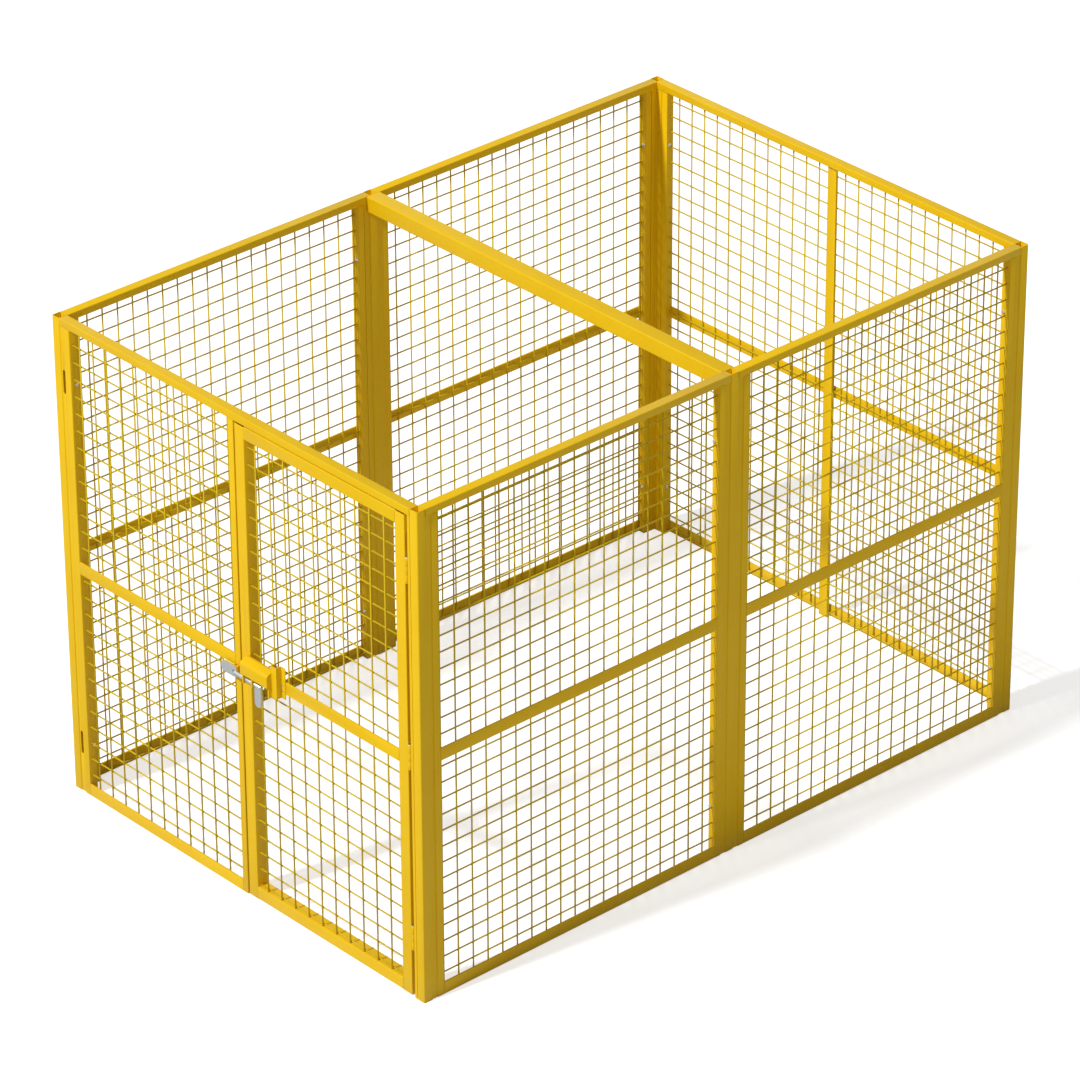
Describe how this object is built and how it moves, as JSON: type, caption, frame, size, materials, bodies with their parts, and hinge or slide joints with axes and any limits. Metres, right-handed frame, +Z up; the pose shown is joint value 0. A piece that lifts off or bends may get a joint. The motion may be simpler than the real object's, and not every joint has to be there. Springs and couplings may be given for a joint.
{
  "type": "wire mesh partition",
  "caption": "Free-standing yellow enclosure of welded wire mesh panels between square posts, open at the top, with a hinged mesh door and a slide bolt.",
  "frame": {"origin": "on the floor, at the middle of the whole partition's outline, latch included", "axes": "+Z up; the door wall faces -Y; +X is to the right of someone who faces the door"},
  "size_m": [2, 3.045, 2],
  "materials": {
    "yellow_coat": "yellow powder coat on steel tube and flat bar, satin",
    "mesh_wire": "yellow powder coat on welded steel wire",
    "zinc_plate": "bright zinc plate, slightly blue"
  },
  "bodies": {
    "cage": {"back_bottom_rail": "yellow_coat", "back_centre_bar": "yellow_coat", "back_mesh": "mesh_wire", "back_mid_rail": "yellow_coat", "back_stiles": "yellow_coat", "back_top_rail": "yellow_coat", "beam_spigots": "yellow_coat", "clamp_bolts": "zinc_plate", "clamp_sleeves": "zinc_plate", "front_bottom_rail": "yellow_coat", "front_header": "yellow_coat", "front_mesh": "mesh_wire", "front_mid_rail": "yellow_coat", "front_stiles": "yellow_coat", "hinge_packer": "yellow_coat", "hinge_pins": "zinc_plate", "hinge_post_leaves": "yellow_coat", "latch_keeper": "yellow_coat", "left_back_bottom_rail": "yellow_coat", "left_back_mesh": "mesh_wire", "left_back_mid_rail": "yellow_coat", "left_back_stiles": "yellow_coat", "left_back_top_rail": "yellow_coat", "left_front_bottom_rail": "yellow_coat", "left_front_mesh": "mesh_wire", "left_front_mid_rail": "yellow_coat", "left_front_stiles": "yellow_coat", "left_front_top_rail": "yellow_coat", "overhead_beam": "yellow_coat", "post_back_left": "yellow_coat", "post_back_right": "yellow_coat", "post_caps": "yellow_coat", "post_front_left": "yellow_coat", "post_front_right": "yellow_coat", "post_mid_left": "yellow_coat", "post_mid_right": "yellow_coat", "right_back_bottom_rail": "yellow_coat", "right_back_mesh": "mesh_wire", "right_back_mid_rail": "yellow_coat", "right_back_stiles": "yellow_coat", "right_back_top_rail": "yellow_coat", "right_front_bottom_rail": "yellow_coat", "right_front_mesh": "mesh_wire", "right_front_mid_rail": "yellow_coat", "right_front_stiles": "yellow_coat", "right_front_top_rail": "yellow_coat"},
    "door": {"door_bottom_rail": "yellow_coat", "door_hinge_stile": "yellow_coat", "door_latch_stile": "yellow_coat", "door_mesh": "mesh_wire", "door_mid_rail": "yellow_coat", "door_top_rail": "yellow_coat", "hinge_door_leaves": "yellow_coat", "latch_hood": "yellow_coat", "latch_bracket": "yellow_coat", "latch_screws": "zinc_plate"},
    "bolt": {"latch_bolt": "zinc_plate"}
  },
  "joints": [
    {"name": "door_hinge", "type": "hinge", "parent": "cage", "child": "door", "pos_m": [0.9405, -1.4745, 0], "axis": [0, 0, 1], "range_deg": [0, 110]},
    {"name": "bolt_slide", "type": "slide", "parent": "door", "child": "bolt", "axis": [1, 0, 0], "range_m": [0, 0.05]}
  ]
}
